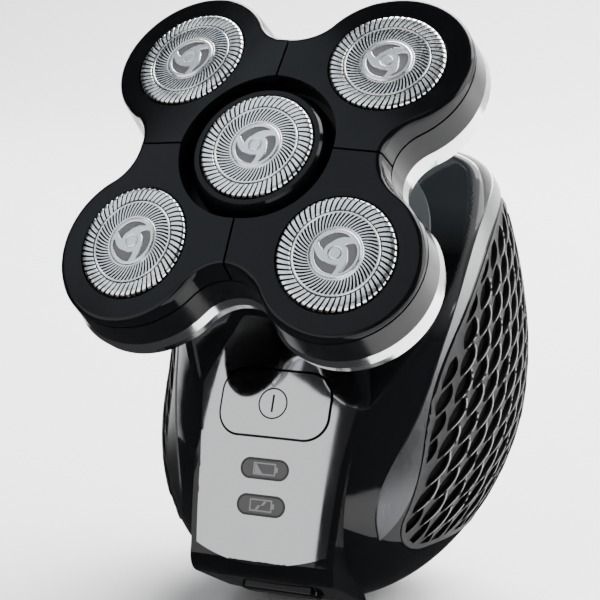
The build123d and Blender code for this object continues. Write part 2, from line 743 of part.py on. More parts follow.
with BuildPart() as pod_frame:
    with BuildSketch(HEAD.offset(FRAME_FOOT)):
        add(lobed_outline(-0.65))
        with Locations((0, 0), *pod_centres):
            Circle(10.0, mode=Mode.SUBTRACT)
    extrude(amount=FRAME_TOP - FRAME_FOOT)
    with BuildSketch(HEAD.offset(FRAME_FOOT)):
        with PolarLocations(CUTTER_OFFSET * sqrt(2) + 11.7, 4, start_angle=45):
            Circle(1.1)
    extrude(amount=PLATE_TOP - FRAME_FOOT)
    with BuildSketch(HEAD.offset(FRAME_TOP)):
        Circle(13.4)
        Circle(12.4, mode=Mode.SUBTRACT)
    extrude(amount=HUB_FOOT - FRAME_TOP)
    for pod in [PODS[place] for place in LOBES]:
        with BuildSketch(pod.offset(PIVOT_LEVEL)):
            with Locations((0, PIVOT_OUT), (0, -PIVOT_OUT)):
                Rectangle(1.0, PIVOT_LENGTH)
        extrude(amount=FRAME_TOP - PIVOT_LEVEL - 0.3)
        pivot_side = Plane(origin=pod.from_local_coords((0, 0, PIVOT_LEVEL)),
                           x_dir=pod.x_dir, z_dir=pod.y_dir)
        for end in (PIVOT_OUT, -PIVOT_OUT):
            with BuildSketch(pivot_side.offset(end - PIVOT_LENGTH / 2)):
                Circle(PIVOT_R)
            extrude(amount=PIVOT_LENGTH)
save(pod_frame, "pod_frame")

# ---- gears ------------------------------------------------------------------------------------------

TOOTH_MODULE = 2 * GEAR_OFFSET / (CENTRE_TEETH + OUTER_TEETH)
GEAR_FOOT = -12.5
GEAR_TOP = -9.9
SPINDLE_TOP = -7.2
DRIVE_SOCKET_R = 2.2


def gear_face(teeth, phase):
    """A spur gear's face, with straight-flanked teeth and one tooth centred on the phase angle."""
    pitch_r = TOOTH_MODULE * teeth / 2
    root_r, tip_r = pitch_r - 1.15 * TOOTH_MODULE, pitch_r + 0.85 * TOOTH_MODULE
    half_root, half_tip = 0.95 * TOOTH_MODULE, 0.38 * TOOTH_MODULE
    with BuildSketch() as face:
        Circle(root_r)
        with PolarLocations(0, teeth, start_angle=phase):
            Polygon(
                (root_r - 0.3, -half_root),
                (tip_r, -half_tip),
                (tip_r, half_tip),
                (root_r - 0.3, half_root),
                align=None,
            )
    return face.sketch


def gear(teeth, phase, axis_plane):
    """A gear with a spindle that rises to the cutter above it and is bored for its stem."""
    with BuildPart() as wheel:
        with BuildSketch(axis_plane.offset(GEAR_FOOT)):
            add(gear_face(teeth, phase))
        extrude(amount=GEAR_TOP - GEAR_FOOT)
        with BuildSketch(axis_plane.offset(GEAR_TOP)):
            Circle(BEARING_R)
        extrude(amount=SPINDLE_TOP - GEAR_TOP)
        with BuildSketch(axis_plane.offset(SPINDLE_TOP)):
            Circle(DRIVE_SOCKET_R)
        extrude(amount=-3, mode=Mode.SUBTRACT)
    return wheel.part


with BuildPart() as centre_gear:
    add(gear(CENTRE_TEETH, 45, HEAD))
    with BuildSketch(HEAD.offset(GEAR_FOOT)):
        RegularPolygon(HEX_R + 0.25, 6)
    extrude(amount=1.5, mode=Mode.SUBTRACT)
save(centre_gear, "centre_gear")

for place, angle in LOBES.items():
    x, y = on_head(angle, GEAR_OFFSET)
    spindle_plane = Plane(
        origin=HEAD.from_local_coords((x, y, 0)), x_dir=HEAD.x_dir, z_dir=HEAD.z_dir
    )
    with BuildPart() as outer_gear:
        add(gear(OUTER_TEETH, angle + 180 + 180 / OUTER_TEETH, spindle_plane))
    save(outer_gear, f"gear_{place}")

# ---- petals, hub, caps and cutters ------------------------------------------------------------------

PETAL_WALL = 1.3
PETAL_TAPER = 8.2
PETAL_ROUND = 1.0
PETAL_DROP = 0.6         # the petals' faces lie this far below their caps' rims
SEAM = 0.2               # half the gap between neighbouring petals
CAP_OPENING_R = 10.8


def petal_form(place, inset):
    """One petal's outer form, drawn in by an inset all round and open below."""
    foot = PETAL_FOOT - inset
    angle = radians(LOBES[place] - 45)
    quarter = Plane(
        origin=HEAD.origin,
        x_dir=HEAD.x_dir * cos(angle) + HEAD.y_dir * sin(angle),
        z_dir=HEAD.z_dir,
    )
    with BuildPart() as form:
        with BuildSketch(HEAD.offset(foot)):
            add(lobed_outline(1.0 - inset))
        extrude(amount=8, taper=PETAL_TAPER)
        with BuildSketch(quarter.offset(foot - 1)):
            with Locations((SEAM + inset, SEAM + inset)):
                Rectangle(45, 45, align=(Align.MIN, Align.MIN))
            Circle(HUB_HOLE_R + inset, mode=Mode.SUBTRACT)
        extrude(amount=12, mode=Mode.INTERSECT)
        split(bisect_by=PODS[place].offset(-PETAL_DROP - inset), keep=Keep.BOTTOM)
    return form.part


for place in LOBES:
    pod = PODS[place]
    with BuildPart() as petal:
        add(petal_form(place, 0))
        shoulders = [
            edge for edge in petal.edges().filter_by(GeomType.ELLIPSE)
            if abs(pod.to_local_coords(edge @ 0.5).Z + PETAL_DROP) < 0.01
            and pod.to_local_coords(edge @ 0.5).X > HUB_HOLE_R - CUTTER_OFFSET * sqrt(2) + 2
        ]
        fillet(shoulders, PETAL_ROUND)
        add(petal_form(place, PETAL_WALL), mode=Mode.SUBTRACT)
        with BuildSketch(pod.offset(3)):
            Circle(CAP_OPENING_R)
        extrude(amount=-8, mode=Mode.SUBTRACT)
    save(petal, f"petal_{place}")

with BuildPart() as hub_collar:
    with BuildSketch(Plane(origin=HEAD.origin, x_dir=HEAD.x_dir, z_dir=-HEAD.y_dir)):
        with BuildLine():
            Polyline(
                (13.5, HUB_FOOT), (13.3, -1.5), (12.1, 1.0), (11.7, 1.4), (10.8, 1.4),
                (10.8, 0.1), (11.5, 0.1), (11.9, -0.8), (12.2, HUB_FOOT), (13.5, HUB_FOOT),
            )
        make_face()
    revolve(axis=Axis(HEAD.origin, HEAD.z_dir))
save(hub_collar, "hub_collar")

# levels below each cap's own plane
CAP_RING_R = 4.6
CAP_FLANGE_R = 11.1
CUTTER_R = 9.5
LIFTERS = 12
STEM_R = 1.1

for place, pod in PODS.items():
    # sections through the cap's axis: x runs outwards, y along the axis
    section = Plane(origin=pod.origin, x_dir=pod.x_dir, z_dir=-pod.y_dir)
    pod_axis = Axis(pod.origin, pod.z_dir)
    with BuildPart() as cap:
        with BuildSketch(section):
            with BuildLine():
                Polyline(
                    (CAP_RING_R, 0), (CAP_R - 0.4, 0), (CAP_R, -0.4), (CAP_R, -2.0),
                    (CAP_FLANGE_R, -2.0), (CAP_FLANGE_R, -2.6), (10.0, -2.6), (10.0, -0.9), (9.7, -0.5), (CAP_RING_R, -0.5),
                    (CAP_RING_R, 0),
                )
            make_face()
        revolve(axis=pod_axis)
    save(cap, f"cap_{place}")

    with BuildPart() as badge:
        with BuildSketch(pod.offset(-0.45)):
            Circle(CAP_RING_R - FIT)
        extrude(amount=0.6)
        chamfer(badge.edges().sort_by(pod_axis)[-1], 0.2)
    save(badge, f"badge_{place}")

    stem_foot = 10.6 if place == "centre" else 8.6
    with BuildPart() as cutter:
        with BuildSketch(pod.offset(-2.4)):
            Circle(CUTTER_R)
            with PolarLocations(6.6, 6, start_angle=15):
                Circle(1.1, mode=Mode.SUBTRACT)
        extrude(amount=0.6)
        with BuildSketch(pod.offset(-1.8)):
            with PolarLocations(7.2, LIFTERS):
                Rectangle(4.4, 0.7)
        extrude(amount=1.15)
        with BuildSketch(pod.offset(-2.4)):
            Circle(2.6)
        extrude(amount=-1.0)
        with BuildSketch(pod.offset(-3.4)):
            Circle(STEM_R)
        extrude(amount=3.4 - stem_foot)
    save(cutter, f"cutter_{place}")
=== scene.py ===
from math import atan2, cos, pi, radians, sin, sqrt

import bmesh
import bpy
from mathutils import Matrix, Vector
from mathutils.geometry import delaunay_2d_cdt


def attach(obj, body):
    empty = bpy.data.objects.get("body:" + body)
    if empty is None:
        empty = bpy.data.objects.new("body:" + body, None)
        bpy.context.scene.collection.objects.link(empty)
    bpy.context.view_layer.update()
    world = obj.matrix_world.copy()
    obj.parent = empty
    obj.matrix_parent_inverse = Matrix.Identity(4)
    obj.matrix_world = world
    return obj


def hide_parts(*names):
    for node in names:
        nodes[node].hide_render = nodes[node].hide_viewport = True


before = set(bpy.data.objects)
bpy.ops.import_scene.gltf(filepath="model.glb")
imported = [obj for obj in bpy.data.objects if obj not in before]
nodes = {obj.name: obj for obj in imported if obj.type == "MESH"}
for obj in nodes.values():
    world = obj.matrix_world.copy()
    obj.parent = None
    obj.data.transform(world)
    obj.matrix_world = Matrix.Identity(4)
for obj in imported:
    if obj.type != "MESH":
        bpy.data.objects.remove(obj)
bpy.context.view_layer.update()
MM = 0.001

# ---- planes of the part, in metres -------------------------------------------------------------

LEAN = radians(53.7)
HEAD_O = Vector((0, -0.0272, 0.0868))
HEAD_X = Vector((1, 0, 0))
HEAD_Y = Vector((0, cos(LEAN), sin(LEAN)))
HEAD_Z = Vector((0, -sin(LEAN), cos(LEAN)))
PANEL_LEAN = radians(16.7)
PANEL_O = Vector((0, -0.0253, 0.030))
PANEL_Z = Vector((0, -cos(PANEL_LEAN), sin(PANEL_LEAN)))
PANEL_Y = Vector((0, sin(PANEL_LEAN), cos(PANEL_LEAN)))
UP = Vector((0, 0, 1))

# the directions of the outer pods on the head, in degrees, and all pods' places in millimetres
LOBES = {"upper_right": 45, "upper_left": 135, "lower_left": 225, "lower_right": 315}
CENTRE_RISE = 2.0
POD_REACH = 19.4 * sqrt(2)
POD_TILT = radians(8.4)

# the button and the windows on the panel: centres up it, and outlines that are a straight-sided
# core with a rounding round it, in millimetres
BUTTON_UP, BUTTON_CORE, BUTTON_ROUND = 11.0, (6.4, 1.7), 4.4
LOW_WINDOW_UP, CHARGE_WINDOW_UP = -1.0, -7.6
WINDOW_CORE, WINDOW_ROUND = 2.9, 1.45


def placed(origin, x, y, z):
    """A matrix that stands an object's own axes on the given ones."""
    m = Matrix((x, y, z)).transposed().to_4x4()
    m.translation = origin
    return m


def pod_matrix(place):
    """A cap's own frame: z is the cutter's axis and x points outwards."""
    if place == "centre":
        return placed(HEAD_O + HEAD_Z * CENTRE_RISE * MM, HEAD_X, HEAD_Y, HEAD_Z)
    a = radians(LOBES[place])
    out = HEAD_X * cos(a) + HEAD_Y * sin(a)
    z = HEAD_Z * cos(POD_TILT) + out * sin(POD_TILT)
    x = out * cos(POD_TILT) - HEAD_Z * sin(POD_TILT)
    return placed(HEAD_O + out * POD_REACH * MM, x, z.cross(x), z)


# ---- materials ---------------------------------------------------------------------------------


class Shade:
    """A material under construction, with short ways to add nodes."""

    def __init__(self, name, color, rough, metal=0.0, **sockets):
        self.mat = bpy.data.materials.new(name)
        self.mat.use_nodes = True
        self.tree = self.mat.node_tree
        self.bsdf = self.tree.nodes["Principled BSDF"]
        self.set("Base Color", (*color, 1))
        self.set("Roughness", rough)
        self.set("Metallic", metal)
        for key, value in sockets.items():
            self.set(key.replace("_", " "), value)

    def set(self, socket, value):
        self.feed(self.bsdf.inputs[socket], value)

    def feed(self, socket, value):
        if isinstance(value, bpy.types.NodeSocket):
            self.tree.links.new(value, socket)
        else:
            socket.default_value = value

    def node(self, kind, **inputs):
        n = self.tree.nodes.new(kind)
        for key, value in inputs.items():
            self.feed(n.inputs[key.replace("_", " ")], value)
        return n

    def math(self, op, *values):
        n = self.tree.nodes.new("ShaderNodeMath")
        n.operation = op
        for socket, value in zip(n.inputs, values):
            self.feed(socket, value)
        return n.outputs[0]

    def vector(self, op, a, b):
        n = self.tree.nodes.new("ShaderNodeVectorMath")
        n.operation = op
        self.feed(n.inputs[0], a)
        self.feed(n.inputs[1], b)
        return n.outputs["Value" if op == "DOT_PRODUCT" else "Vector"]

    def hypot(self, x, y):
        squares = [self.math("MULTIPLY", value, value) for value in (x, y)]
        return self.math("SQRT", self.math("ADD", *squares))

    def where(self):
        """Object coordinates, which on the CAD nodes are the part's own, in metres."""
        return self.tree.nodes.new("ShaderNodeTexCoord").outputs["Object"]

    def along(self, direction, origin=(0, 0, 0)):
        """Distance along a direction from an origin, in millimetres."""
        offset = self.vector("SUBTRACT", self.where(), origin)
        return self.vector("DOT_PRODUCT", offset, direction * 1000)

    def facing(self, direction):
        """How squarely the surface faces a direction, from -1 to 1."""
        normal = self.tree.nodes.new("ShaderNodeNewGeometry").outputs["True Normal"]
        return self.vector("DOT_PRODUCT", normal, direction)

    def noise(self, scale, detail, stretch=None):
        n = self.node("ShaderNodeTexNoise", Scale=scale, Detail=detail)
        vector = self.where()
        if stretch:
            vector = self.node("ShaderNodeMapping", Scale=stretch, Vector=vector).outputs[0]
        self.feed(n.inputs["Vector"], vector)
        return n.outputs["Fac"]

    def spread(self, value, low, high, start=0.0, end=1.0):
        """A value's span from start to end, stretched to run from low to high and held there."""
        return self.node(
            "ShaderNodeMapRange",
            Value=value, From_Min=start, From_Max=end, To_Min=low, To_Max=high,
        ).outputs["Result"]

    def step(self, value, soft=0.03):
        """1 where the value is below zero and 0 where it is above, over a narrow ramp."""
        return self.spread(value, 1.0, 0.0, -soft, soft)

    def mix(self, factor, a, b):
        n = self.tree.nodes.new("ShaderNodeMix")
        n.data_type = "RGBA"
        for socket, value in zip((n.inputs[0], n.inputs[6], n.inputs[7]), (factor, a, b)):
            self.feed(socket, (*value, 1) if isinstance(value, tuple) else value)
        return n.outputs[2]

    def grain(self, scale, detail, low, high, stretch=None):
        """Roughness that wanders between two values."""
        self.set("Roughness", self.spread(self.noise(scale, detail, stretch), low, high, 0.3, 0.7))

    def bump(self, scale, detail, strength, distance):
        """Slight unevenness, as in a moulding."""
        height = self.noise(scale, detail)
        n = self.node("ShaderNodeBump", Strength=strength, Distance=distance, Height=height)
        self.set("Normal", n.outputs[0])


def gloss(name, color, rough, shine=0.3):
    """Moulded gloss plastic: faint handling haze and the slightest unevenness of a moulding."""
    s = Shade(name, color, rough, IOR=1.5, Specular_IOR_Level=shine)
    s.set("Roughness", s.spread(s.noise(180, 3), rough, rough + 0.05, 0.45, 0.75))
    s.bump(60, 1, 0.04, 0.0005)
    return s


# the plastic's black, a painted deck reflection and a painted edge sheen
GLOSS_BLACK, PAINTED_DECK_REFLECTION, PAINTED_EDGE_SHEEN = (0.004, 0.0042, 0.005), (0.03, 0.035, 0.038), (0.06, 0.061, 0.063)
black = gloss("black_gloss", GLOSS_BLACK, 0.05)
skirt_black = gloss("skirt_gloss", GLOSS_BLACK, 0.18, 0.2)
petal_black = gloss("petal_gloss", (0.003, 0.0034, 0.0042), 0.09, 0.19)


def shell_shade():
    """The handle's gloss black; its sloping deck is painted paler, as a painted reflection that
    ends lower down.
    """
    s = gloss("shell_gloss", GLOSS_BLACK, 0.05)
    square = s.facing(HEAD_Z)
    height = s.along(UP)
    deck_reflection = s.math("MULTIPLY", s.spread(square, 0, 1, 0.96, 0.99), s.spread(height, 0, 1, 66, 75))
    # painted highlight: the rounded edge round the deck is painted paler, as a sheen of light
    edge = s.math(
        "MULTIPLY", s.spread(square, 0, 1, 0.1, 0.6), s.spread(square, 1, 0, 0.93, 0.98)
    )
    edge = s.math("MULTIPLY", edge, s.spread(height, 0, 1, 52, 70))
    s.set("Base Color", s.mix(edge, s.mix(deck_reflection, GLOSS_BLACK, PAINTED_DECK_REFLECTION), PAINTED_EDGE_SHEEN))
    return s


shell = shell_shade()
collar_grey = Shade("collar_grey", (0.10, 0.115, 0.12), 0.35)
collar_grey.grain(900, 2, 0.3, 0.42)


def on_panel(s, up):
    """Distances right of and above a point on the panel's middle line, in millimetres."""
    return s.along(HEAD_X), s.math("SUBTRACT", s.along(PANEL_Y, PANEL_O), up)


def beside_button(s):
    """Distance outside the power button's rounded outline, in millimetres."""
    over = [
        s.math("MAXIMUM", s.math("SUBTRACT", s.math("ABSOLUTE", value), half), 0.0)
        for value, half in zip(on_panel(s, BUTTON_UP), BUTTON_CORE)
    ]
    return s.math("SUBTRACT", s.hypot(*over), BUTTON_ROUND)


SILVER = (0.37, 0.375, 0.385)
silver = Shade("silver", SILVER, 0.06, 1.0)
silver.grain(300, 3, 0.045, 0.085, (1, 1, 0.08))
# painted shade: cut edges and the lip round the button's opening are painted near black
lit = silver.spread(silver.facing(PANEL_Z), 0, 1, 0.5, 0.75)
clear = silver.spread(silver.math("ABSOLUTE", beside_button(silver)), 0, 1, 0.30, 0.38)
pale = silver.math("MULTIPLY", lit, clear)
silver.set("Base Color", silver.mix(pale, (0.008, 0.008, 0.008), SILVER))

band = Shade("band_silver", (0.82, 0.83, 0.84), 0.12, 1.0)
band.grain(400, 2, 0.10, 0.2)

trim = Shade("trim_grey", (0.17, 0.174, 0.18), 0.3, 0.85)
trim.grain(1500, 3, 0.27, 0.35, (1, 1, 0.1))
# painted light: paler over the shoulders and darker at the band's feet, as the light falls
crown = trim.spread(trim.along(UP), 0, 1, 28, 84)
trim.set("Base Color", trim.mix(crown, (0.06, 0.062, 0.065), (0.27, 0.275, 0.28)))


def rubber_shade(name, color, rough, shine):
    s = Shade(name, color, rough, Specular_IOR_Level=shine)
    s.grain(700, 3, rough - 0.05, rough + 0.08)
    s.bump(5000, 2, 0.1, 0.0001)
    return s


rubber = rubber_shade("grip_rubber", (0.026, 0.0265, 0.0275), 0.55, 0.2)
# painted highlight: the ridge strips' rubber is painted pale
ridge_painted_highlight = rubber_shade("grip_ridge_painted_highlight", (0.18, 0.182, 0.186), 0.45, 0.4)
# painted shade: the recesses' rubber is painted near black
recess_painted_shade = rubber_shade("grip_recess_painted_shade", (0.003, 0.003, 0.0032), 0.7, 0.08)

steel = Shade("steel", (0.62, 0.63, 0.64), 0.3, 1.0)
steel.grain(800, 3, 0.22, 0.4)
foil = Shade("foil_steel", (0.92, 0.94, 0.95), 0.25, 1.0)
foil.grain(1500, 3, 0.18, 0.34)
badge_face = Shade("badge_metal", (0.86, 0.88, 0.89), 0.3, 1.0)
badge_face.grain(1200, 2, 0.24, 0.38)
badge_dark = Shade("badge_recess", (0.16, 0.16, 0.17), 0.5, 0.5)
badge_dark.grain(1500, 2, 0.42, 0.58)
slot_dark = Shade("slot_shadow", (0.012, 0.012, 0.013), 0.5)
slot_dark.bump(3000, 2, 0.1, 0.0001)
# painted shade: the cutters below the slots are painted near black
cutter = Shade("cutter_painted_shade", (0.02, 0.02, 0.021), 0.45, 0.7)
cutter.grain(1200, 2, 0.38, 0.55)

nylon = Shade("nylon", (0.78, 0.77, 0.72), 0.5)
nylon.bump(1500, 2, 0.05, 0.0002)
inner_black = Shade("inner_black", (0.02, 0.02, 0.02), 0.5)
inner_black.bump(2500, 2, 0.1, 0.0001)
wrap = Shade("battery_wrap", (0.03, 0.12, 0.3), 0.3)
wrap.grain(500, 2, 0.22, 0.4)
board = Shade("board_green", (0.01, 0.10, 0.04), 0.4)
board.bump(1800, 4, 0.2, 0.0001)
led = Shade("led", (0.8, 0.8, 0.72), 0.2)


def box_distance(s, x, y, half_w, half_h):
    """Distance outside a rectangle's edge, negative inside it."""
    return s.math(
        "MAXIMUM",
        s.math("SUBTRACT", s.math("ABSOLUTE", x), half_w),
        s.math("SUBTRACT", s.math("ABSOLUTE", y), half_h),
    )


def box_edge(s, x, y, half_w, half_h, line):
    """A rectangle's outline of a given line width."""
    d = s.math("ABSOLUTE", box_distance(s, x, y, half_w, half_h))
    return s.step(s.math("SUBTRACT", d, line / 2))


def box_fill(s, x, y, half_w, half_h):
    return s.step(box_distance(s, x, y, half_w, half_h))


def button_shade():
    """The silver button, with a generic power mark: a thin ring and a short bar."""
    s = Shade("button_silver", SILVER, 0.06, 1.0)
    x, y = on_panel(s, BUTTON_UP)
    ring_r, half_line = 2.75, 0.14
    from_ring = s.math("ABSOLUTE", s.math("SUBTRACT", s.hypot(x, y), ring_r))
    ring = s.step(s.math("SUBTRACT", from_ring, half_line))
    mark = s.math("MAXIMUM", ring, box_fill(s, x, y, 0.2, 1.6))
    # painted shade: the sides and a thin band inside the outline are painted near black
    side = s.spread(s.facing(PANEL_Z), 1, 0, 0.5, 0.75)
    side = s.math("MAXIMUM", side, s.spread(beside_button(s), 0, 1, -0.16, -0.08))
    s.set("Base Color", s.mix(s.math("MAXIMUM", mark, side), SILVER, (0.012, 0.012, 0.013)))
    s.set("Roughness", s.spread(mark, 0.06, 0.4))
    return s


def window_shade(name, up, charging):
    """A smoked window, dark at its rim, with a battery sign: nearly empty, or with a bolt in it."""
    smoke, sign, dark = (0.05, 0.05, 0.052), (0.2, 0.2, 0.205), (0.004, 0.004, 0.004)
    s = Shade(name, smoke, 0.12, Specular_IOR_Level=0.35)
    x, y = on_panel(s, up)
    outline = box_edge(s, x, y, 2.1, 1.0, 0.24)
    nub = box_fill(s, s.math("SUBTRACT", x, 2.4), y, 0.22, 0.45)
    if charging:
        # a zigzag: its upper half leans one way past the middle and its lower half the other
        shift = s.spread(y, 0.3, -0.3, -0.08, 0.08)
        slant = s.math("ADD", s.math("ADD", x, s.math("MULTIPLY", y, -0.7)), shift)
        inner = box_fill(s, slant, y, 0.26, 0.8)
    else:
        slant = s.math("ADD", s.math("ADD", x, 1.0), s.math("MULTIPLY", y, 0.8))
        inner = s.math("MULTIPLY", s.step(slant), box_fill(s, x, y, 1.9, 0.85))
    mark = s.math("MAXIMUM", s.math("MAXIMUM", outline, nub), inner)
    # distance from the window's own straight middle line gives its rim
    past = s.math("MAXIMUM", s.math("SUBTRACT", s.math("ABSOLUTE", x), WINDOW_CORE), 0.0)
    rim = s.spread(s.hypot(past, y), 0, 1, WINDOW_ROUND, WINDOW_ROUND + 0.15)
    s.set("Base Color", s.mix(rim, s.mix(mark, smoke, sign), dark))
    return s


button = button_shade()
low_window = window_shade("low_battery_window", LOW_WINDOW_UP, False)
charge_window = window_shade("charging_window", CHARGE_WINDOW_UP, True)

PAINT = {
    "front_shell": shell, "rear_shell": shell, "base_cover": black, "port_flap": black,
    "head_base": skirt_black, "hub_collar": petal_black, "neck_collar": collar_grey,
    "right_grip": rubber, "left_grip": rubber, "grip_trim": trim,
    "front_panel": silver, "power_button": button, "rim_band": band,
    "low_battery_window": low_window, "charging_window": charge_window,
    "shaft_seal": inner_black, "battery_cell": wrap, "circuit_board": board,
    "tact_switch": inner_black, "charging_inlet": inner_black, "indicator_leds": led,
    "centre_gear": nylon, "gear_plate": nylon, "pod_frame": inner_black,
}
for place in LOBES:
    PAINT[f"petal_{place}"] = petal_black
    PAINT[f"gear_{place}"] = nylon
for place in ("centre", *LOBES):
    PAINT[f"cutter_{place}"] = cutter
for name, obj in nodes.items():
    obj.data.materials.clear()
    obj.data.materials.append(PAINT.get(name, steel).mat)


# ---- small meshes of our own -------------------------------------------------------------------


def added(name, data):
    """A new object in the scene, for some data."""
    obj = bpy.data.objects.new(name, data)
    bpy.context.scene.collection.objects.link(obj)
    return obj


def mesh_object(name, verts, faces, shades, face_shades=None):
    """A smooth mesh object from vertices in millimetres."""
    mesh = bpy.data.meshes.new(name)
    mesh.from_pydata([Vector(p) * MM for p in verts], [], faces)
    for shade in shades:
        mesh.materials.append(shade.mat)
    if face_shades:
        mesh.polygons.foreach_set("material_index", face_shades)
    mesh.polygons.foreach_set("use_smooth", [True] * len(mesh.polygons))
    mesh.update()
    return added(name, mesh)


def sharpen(obj, angle):
    """Smooth shading that stops at edges sharper than an angle in degrees."""
    mesh = obj.data
    bm = bmesh.new()
    bm.from_mesh(mesh)
    for edge in bm.edges:
        if len(edge.link_faces) == 2 and edge.calc_face_angle(0) > radians(angle):
            edge.smooth = False
    bm.to_mesh(mesh)
    bm.free()


INNER_RIBS, OUTER_RIBS, RING_STEPS = 60, 58, 144
RIB_DEPTH = 0.5
BRIGHT, DARK = 0, 1


def revolved(profile, verts, faces):
    """Adds a closed ring of revolution; the profile is a list of (radius, height)."""
    base, n = len(verts), len(profile)
    for i in range(RING_STEPS):
        a = 2 * pi * i / RING_STEPS
        verts += [(r * cos(a), r * sin(a), z) for r, z in profile]
    for i in range(RING_STEPS):
        j = (i + 1) % RING_STEPS
        for k in range(n):
            m = (k + 1) % n
            faces.append((base + i * n + k, base + j * n + k, base + j * n + m, base + i * n + m))


def ribs(path, count, fill, slant, verts, faces, shades):
    """Adds the bars between radial slots: bright tops and edges, and walls down into the dark."""
    r0, n = path[0][0], len(path)
    for i in range(count):
        base = len(verts)
        for k, (r, z) in enumerate(path):
            a = 2 * pi * i / count + slant * (r - r0) / r0
            half = pi / count * fill * (r0 / r) ** 0.15
            before, after = path[max(k - 1, 0)], path[min(k + 1, n - 1)]
            tr, tz = after[0] - before[0], after[1] - before[1]
            length = sqrt(tr * tr + tz * tz)
            down_r, down_z = tz / length * RIB_DEPTH, -tr / length * RIB_DEPTH
            # the top's edges, a small chamfer below them, and the foot of the walls
            for share, width in ((0.0, half * 0.86), (0.12, half), (1.0, half)):
                rr, zz = r + down_r * share, z + down_z * share
                for side in (-1, 1):
                    verts.append((rr * cos(a + side * width), rr * sin(a + side * width), zz))
        for k in range(n - 1):
            p, q = base + 6 * k, base + 6 * (k + 1)
            faces += [
                (p, q, q + 1, p + 1), (p + 2, q + 2, q, p), (p + 1, q + 1, q + 3, p + 3),
                (p + 4, q + 4, q + 2, p + 2), (p + 3, q + 3, q + 5, p + 5),
                (p + 5, q + 5, q + 4, p + 4),
            ]
            shades += [BRIGHT] * 3 + [DARK] * 3


def cap_object():
    """A shaving cap: two tracks of slots with a ring between them, over a turned-down edge."""
    verts, faces, shades = [], [], []

    def ring(profile, shade=BRIGHT):
        revolved(profile, verts, faces)
        shades.extend([shade] * (len(faces) - len(shades)))

    ring([(4.6, -0.02), (4.68, 0.0), (4.86, 0.0), (4.94, -0.08), (4.94, -0.5), (4.6, -0.5)])
    inner_track = [(4.9, -0.03), (5.6, 0.0), (6.5, 0.0), (7.5, -0.03)]
    ribs(inner_track, INNER_RIBS, 0.50, -0.42, verts, faces, shades)
    ring([(7.42, -0.06), (7.48, 0.0), (7.72, 0.0), (7.78, -0.06), (7.78, -0.5), (7.42, -0.5)])
    outer_track = [
        (7.98, -0.10), (8.06, -0.02), (8.7, 0.0), (9.4, 0.0), (9.9, -0.04), (10.2, -0.14),
        (10.42, -0.36), (10.5, -0.75), (10.5, -1.3),
    ]
    ribs(outer_track, OUTER_RIBS, 0.68, -0.36, verts, faces, shades)
    # the floor of the groove between the tracks, and the skirt and flange below the edge
    ring([(7.7, -0.3), (8.1, -0.3), (8.1, -0.45), (7.7, -0.45)], DARK)
    ring(
        [(10.1, -1.25), (10.5, -1.25), (10.5, -2.0), (11.1, -2.05), (11.1, -2.6), (10.1, -2.6)],
        DARK,
    )
    obj = mesh_object("cap_pattern", verts, faces, [foil, slot_dark], shades)
    sharpen(obj, 40)
    return obj


# the badge's radii and heights: a boss, recesses out to a rim, and a fine groove round the boss
BOSS, RECESS_OUT, BADGE_R, RIM = 2.1, 3.8, 4.55, 0.25
GROOVE_IN, GROOVE_OUT, GROOVE_DEPTH = 1.05, 1.25, 0.1
BADGE_TOP, BADGE_FOOT, RECESS_DEPTH = 0.12, -0.45, 0.24
BADGE_RINGS, BADGE_SPOKES, ARMS = 46, 240, 3


def badge_depth(r, a):
    """How far into a recess a point of the badge is, from 0 to 1; the arms wind clockwise."""
    best = 0.0
    span, broad, wall = radians(360 / ARMS), radians(48), 0.12
    for arm in range(ARMS):
        t = (-a - span * arm) % (2 * pi)
        start = radians(17) * max(0.0, (r - 2.3) / 1.5)
        # past its broad head the recess narrows to a point at its outer side
        rise = min(1.0, max(0.0, (t - broad) / (span - broad)))
        inner = BOSS + (RECESS_OUT - BOSS) * rise**1.35
        edge = min(r - inner, RECESS_OUT - r, (t - start) * r) / wall
        best = max(best, min(1.0, max(0.0, edge)))
    return best


def badge_object():
    """A round badge: a rim, three sickle-shaped recesses winding round a small boss."""
    verts, faces, shades, depth = [(0, 0, BADGE_TOP)], [], [], [0.0]
    angles = [2 * pi * i / BADGE_SPOKES for i in range(BADGE_SPOKES)]
    spokes = [(i, (i + 1) % BADGE_SPOKES) for i in range(BADGE_SPOKES)]
    for k in range(1, BADGE_RINGS + 1):
        r = BADGE_R * k / BADGE_RINGS
        for a in angles:
            depth.append(badge_depth(r, a))
            z = BADGE_TOP - RECESS_DEPTH * depth[-1]
            if GROOVE_IN < r < GROOVE_OUT:
                z -= GROOVE_DEPTH
            if r > BADGE_R - RIM:
                z -= (r - BADGE_R + RIM) * 0.8
            verts.append((r * cos(a), r * sin(a), z))
    faces += [(0, 1 + i, 1 + j) for i, j in spokes]
    shades += [BRIGHT] * BADGE_SPOKES
    for k in range(BADGE_RINGS - 1):
        low = 1 + k * BADGE_SPOKES
        high = low + BADGE_SPOKES
        for i, j in spokes:
            quad = (low + i, high + i, high + j, low + j)
            faces.append(quad)
            shades.append(DARK if sum(depth[v] for v in quad) > 2 else BRIGHT)
    last, foot = len(verts) - BADGE_SPOKES, len(verts)
    verts += [(BADGE_R * cos(a), BADGE_R * sin(a), BADGE_FOOT) for a in angles]
    faces += [(last + i, foot + i, foot + j, last + j) for i, j in spokes]
    faces.append(tuple(foot + i for i in range(BADGE_SPOKES - 1, -1, -1)))
    shades += [BRIGHT] * (BADGE_SPOKES + 1)
    obj = mesh_object("badge_pattern", verts, faces, [badge_face, badge_dark], shades)
    sharpen(obj, 50)
    return obj


def repeated(pattern, name, matrix, turn):
    """A copy of a pattern object with the same mesh."""
    obj = added(name, pattern.data)
    obj.matrix_world = matrix @ Matrix.Rotation(turn, 4, "Z")
    return obj


cap_pattern, badge_pattern = cap_object(), badge_object()
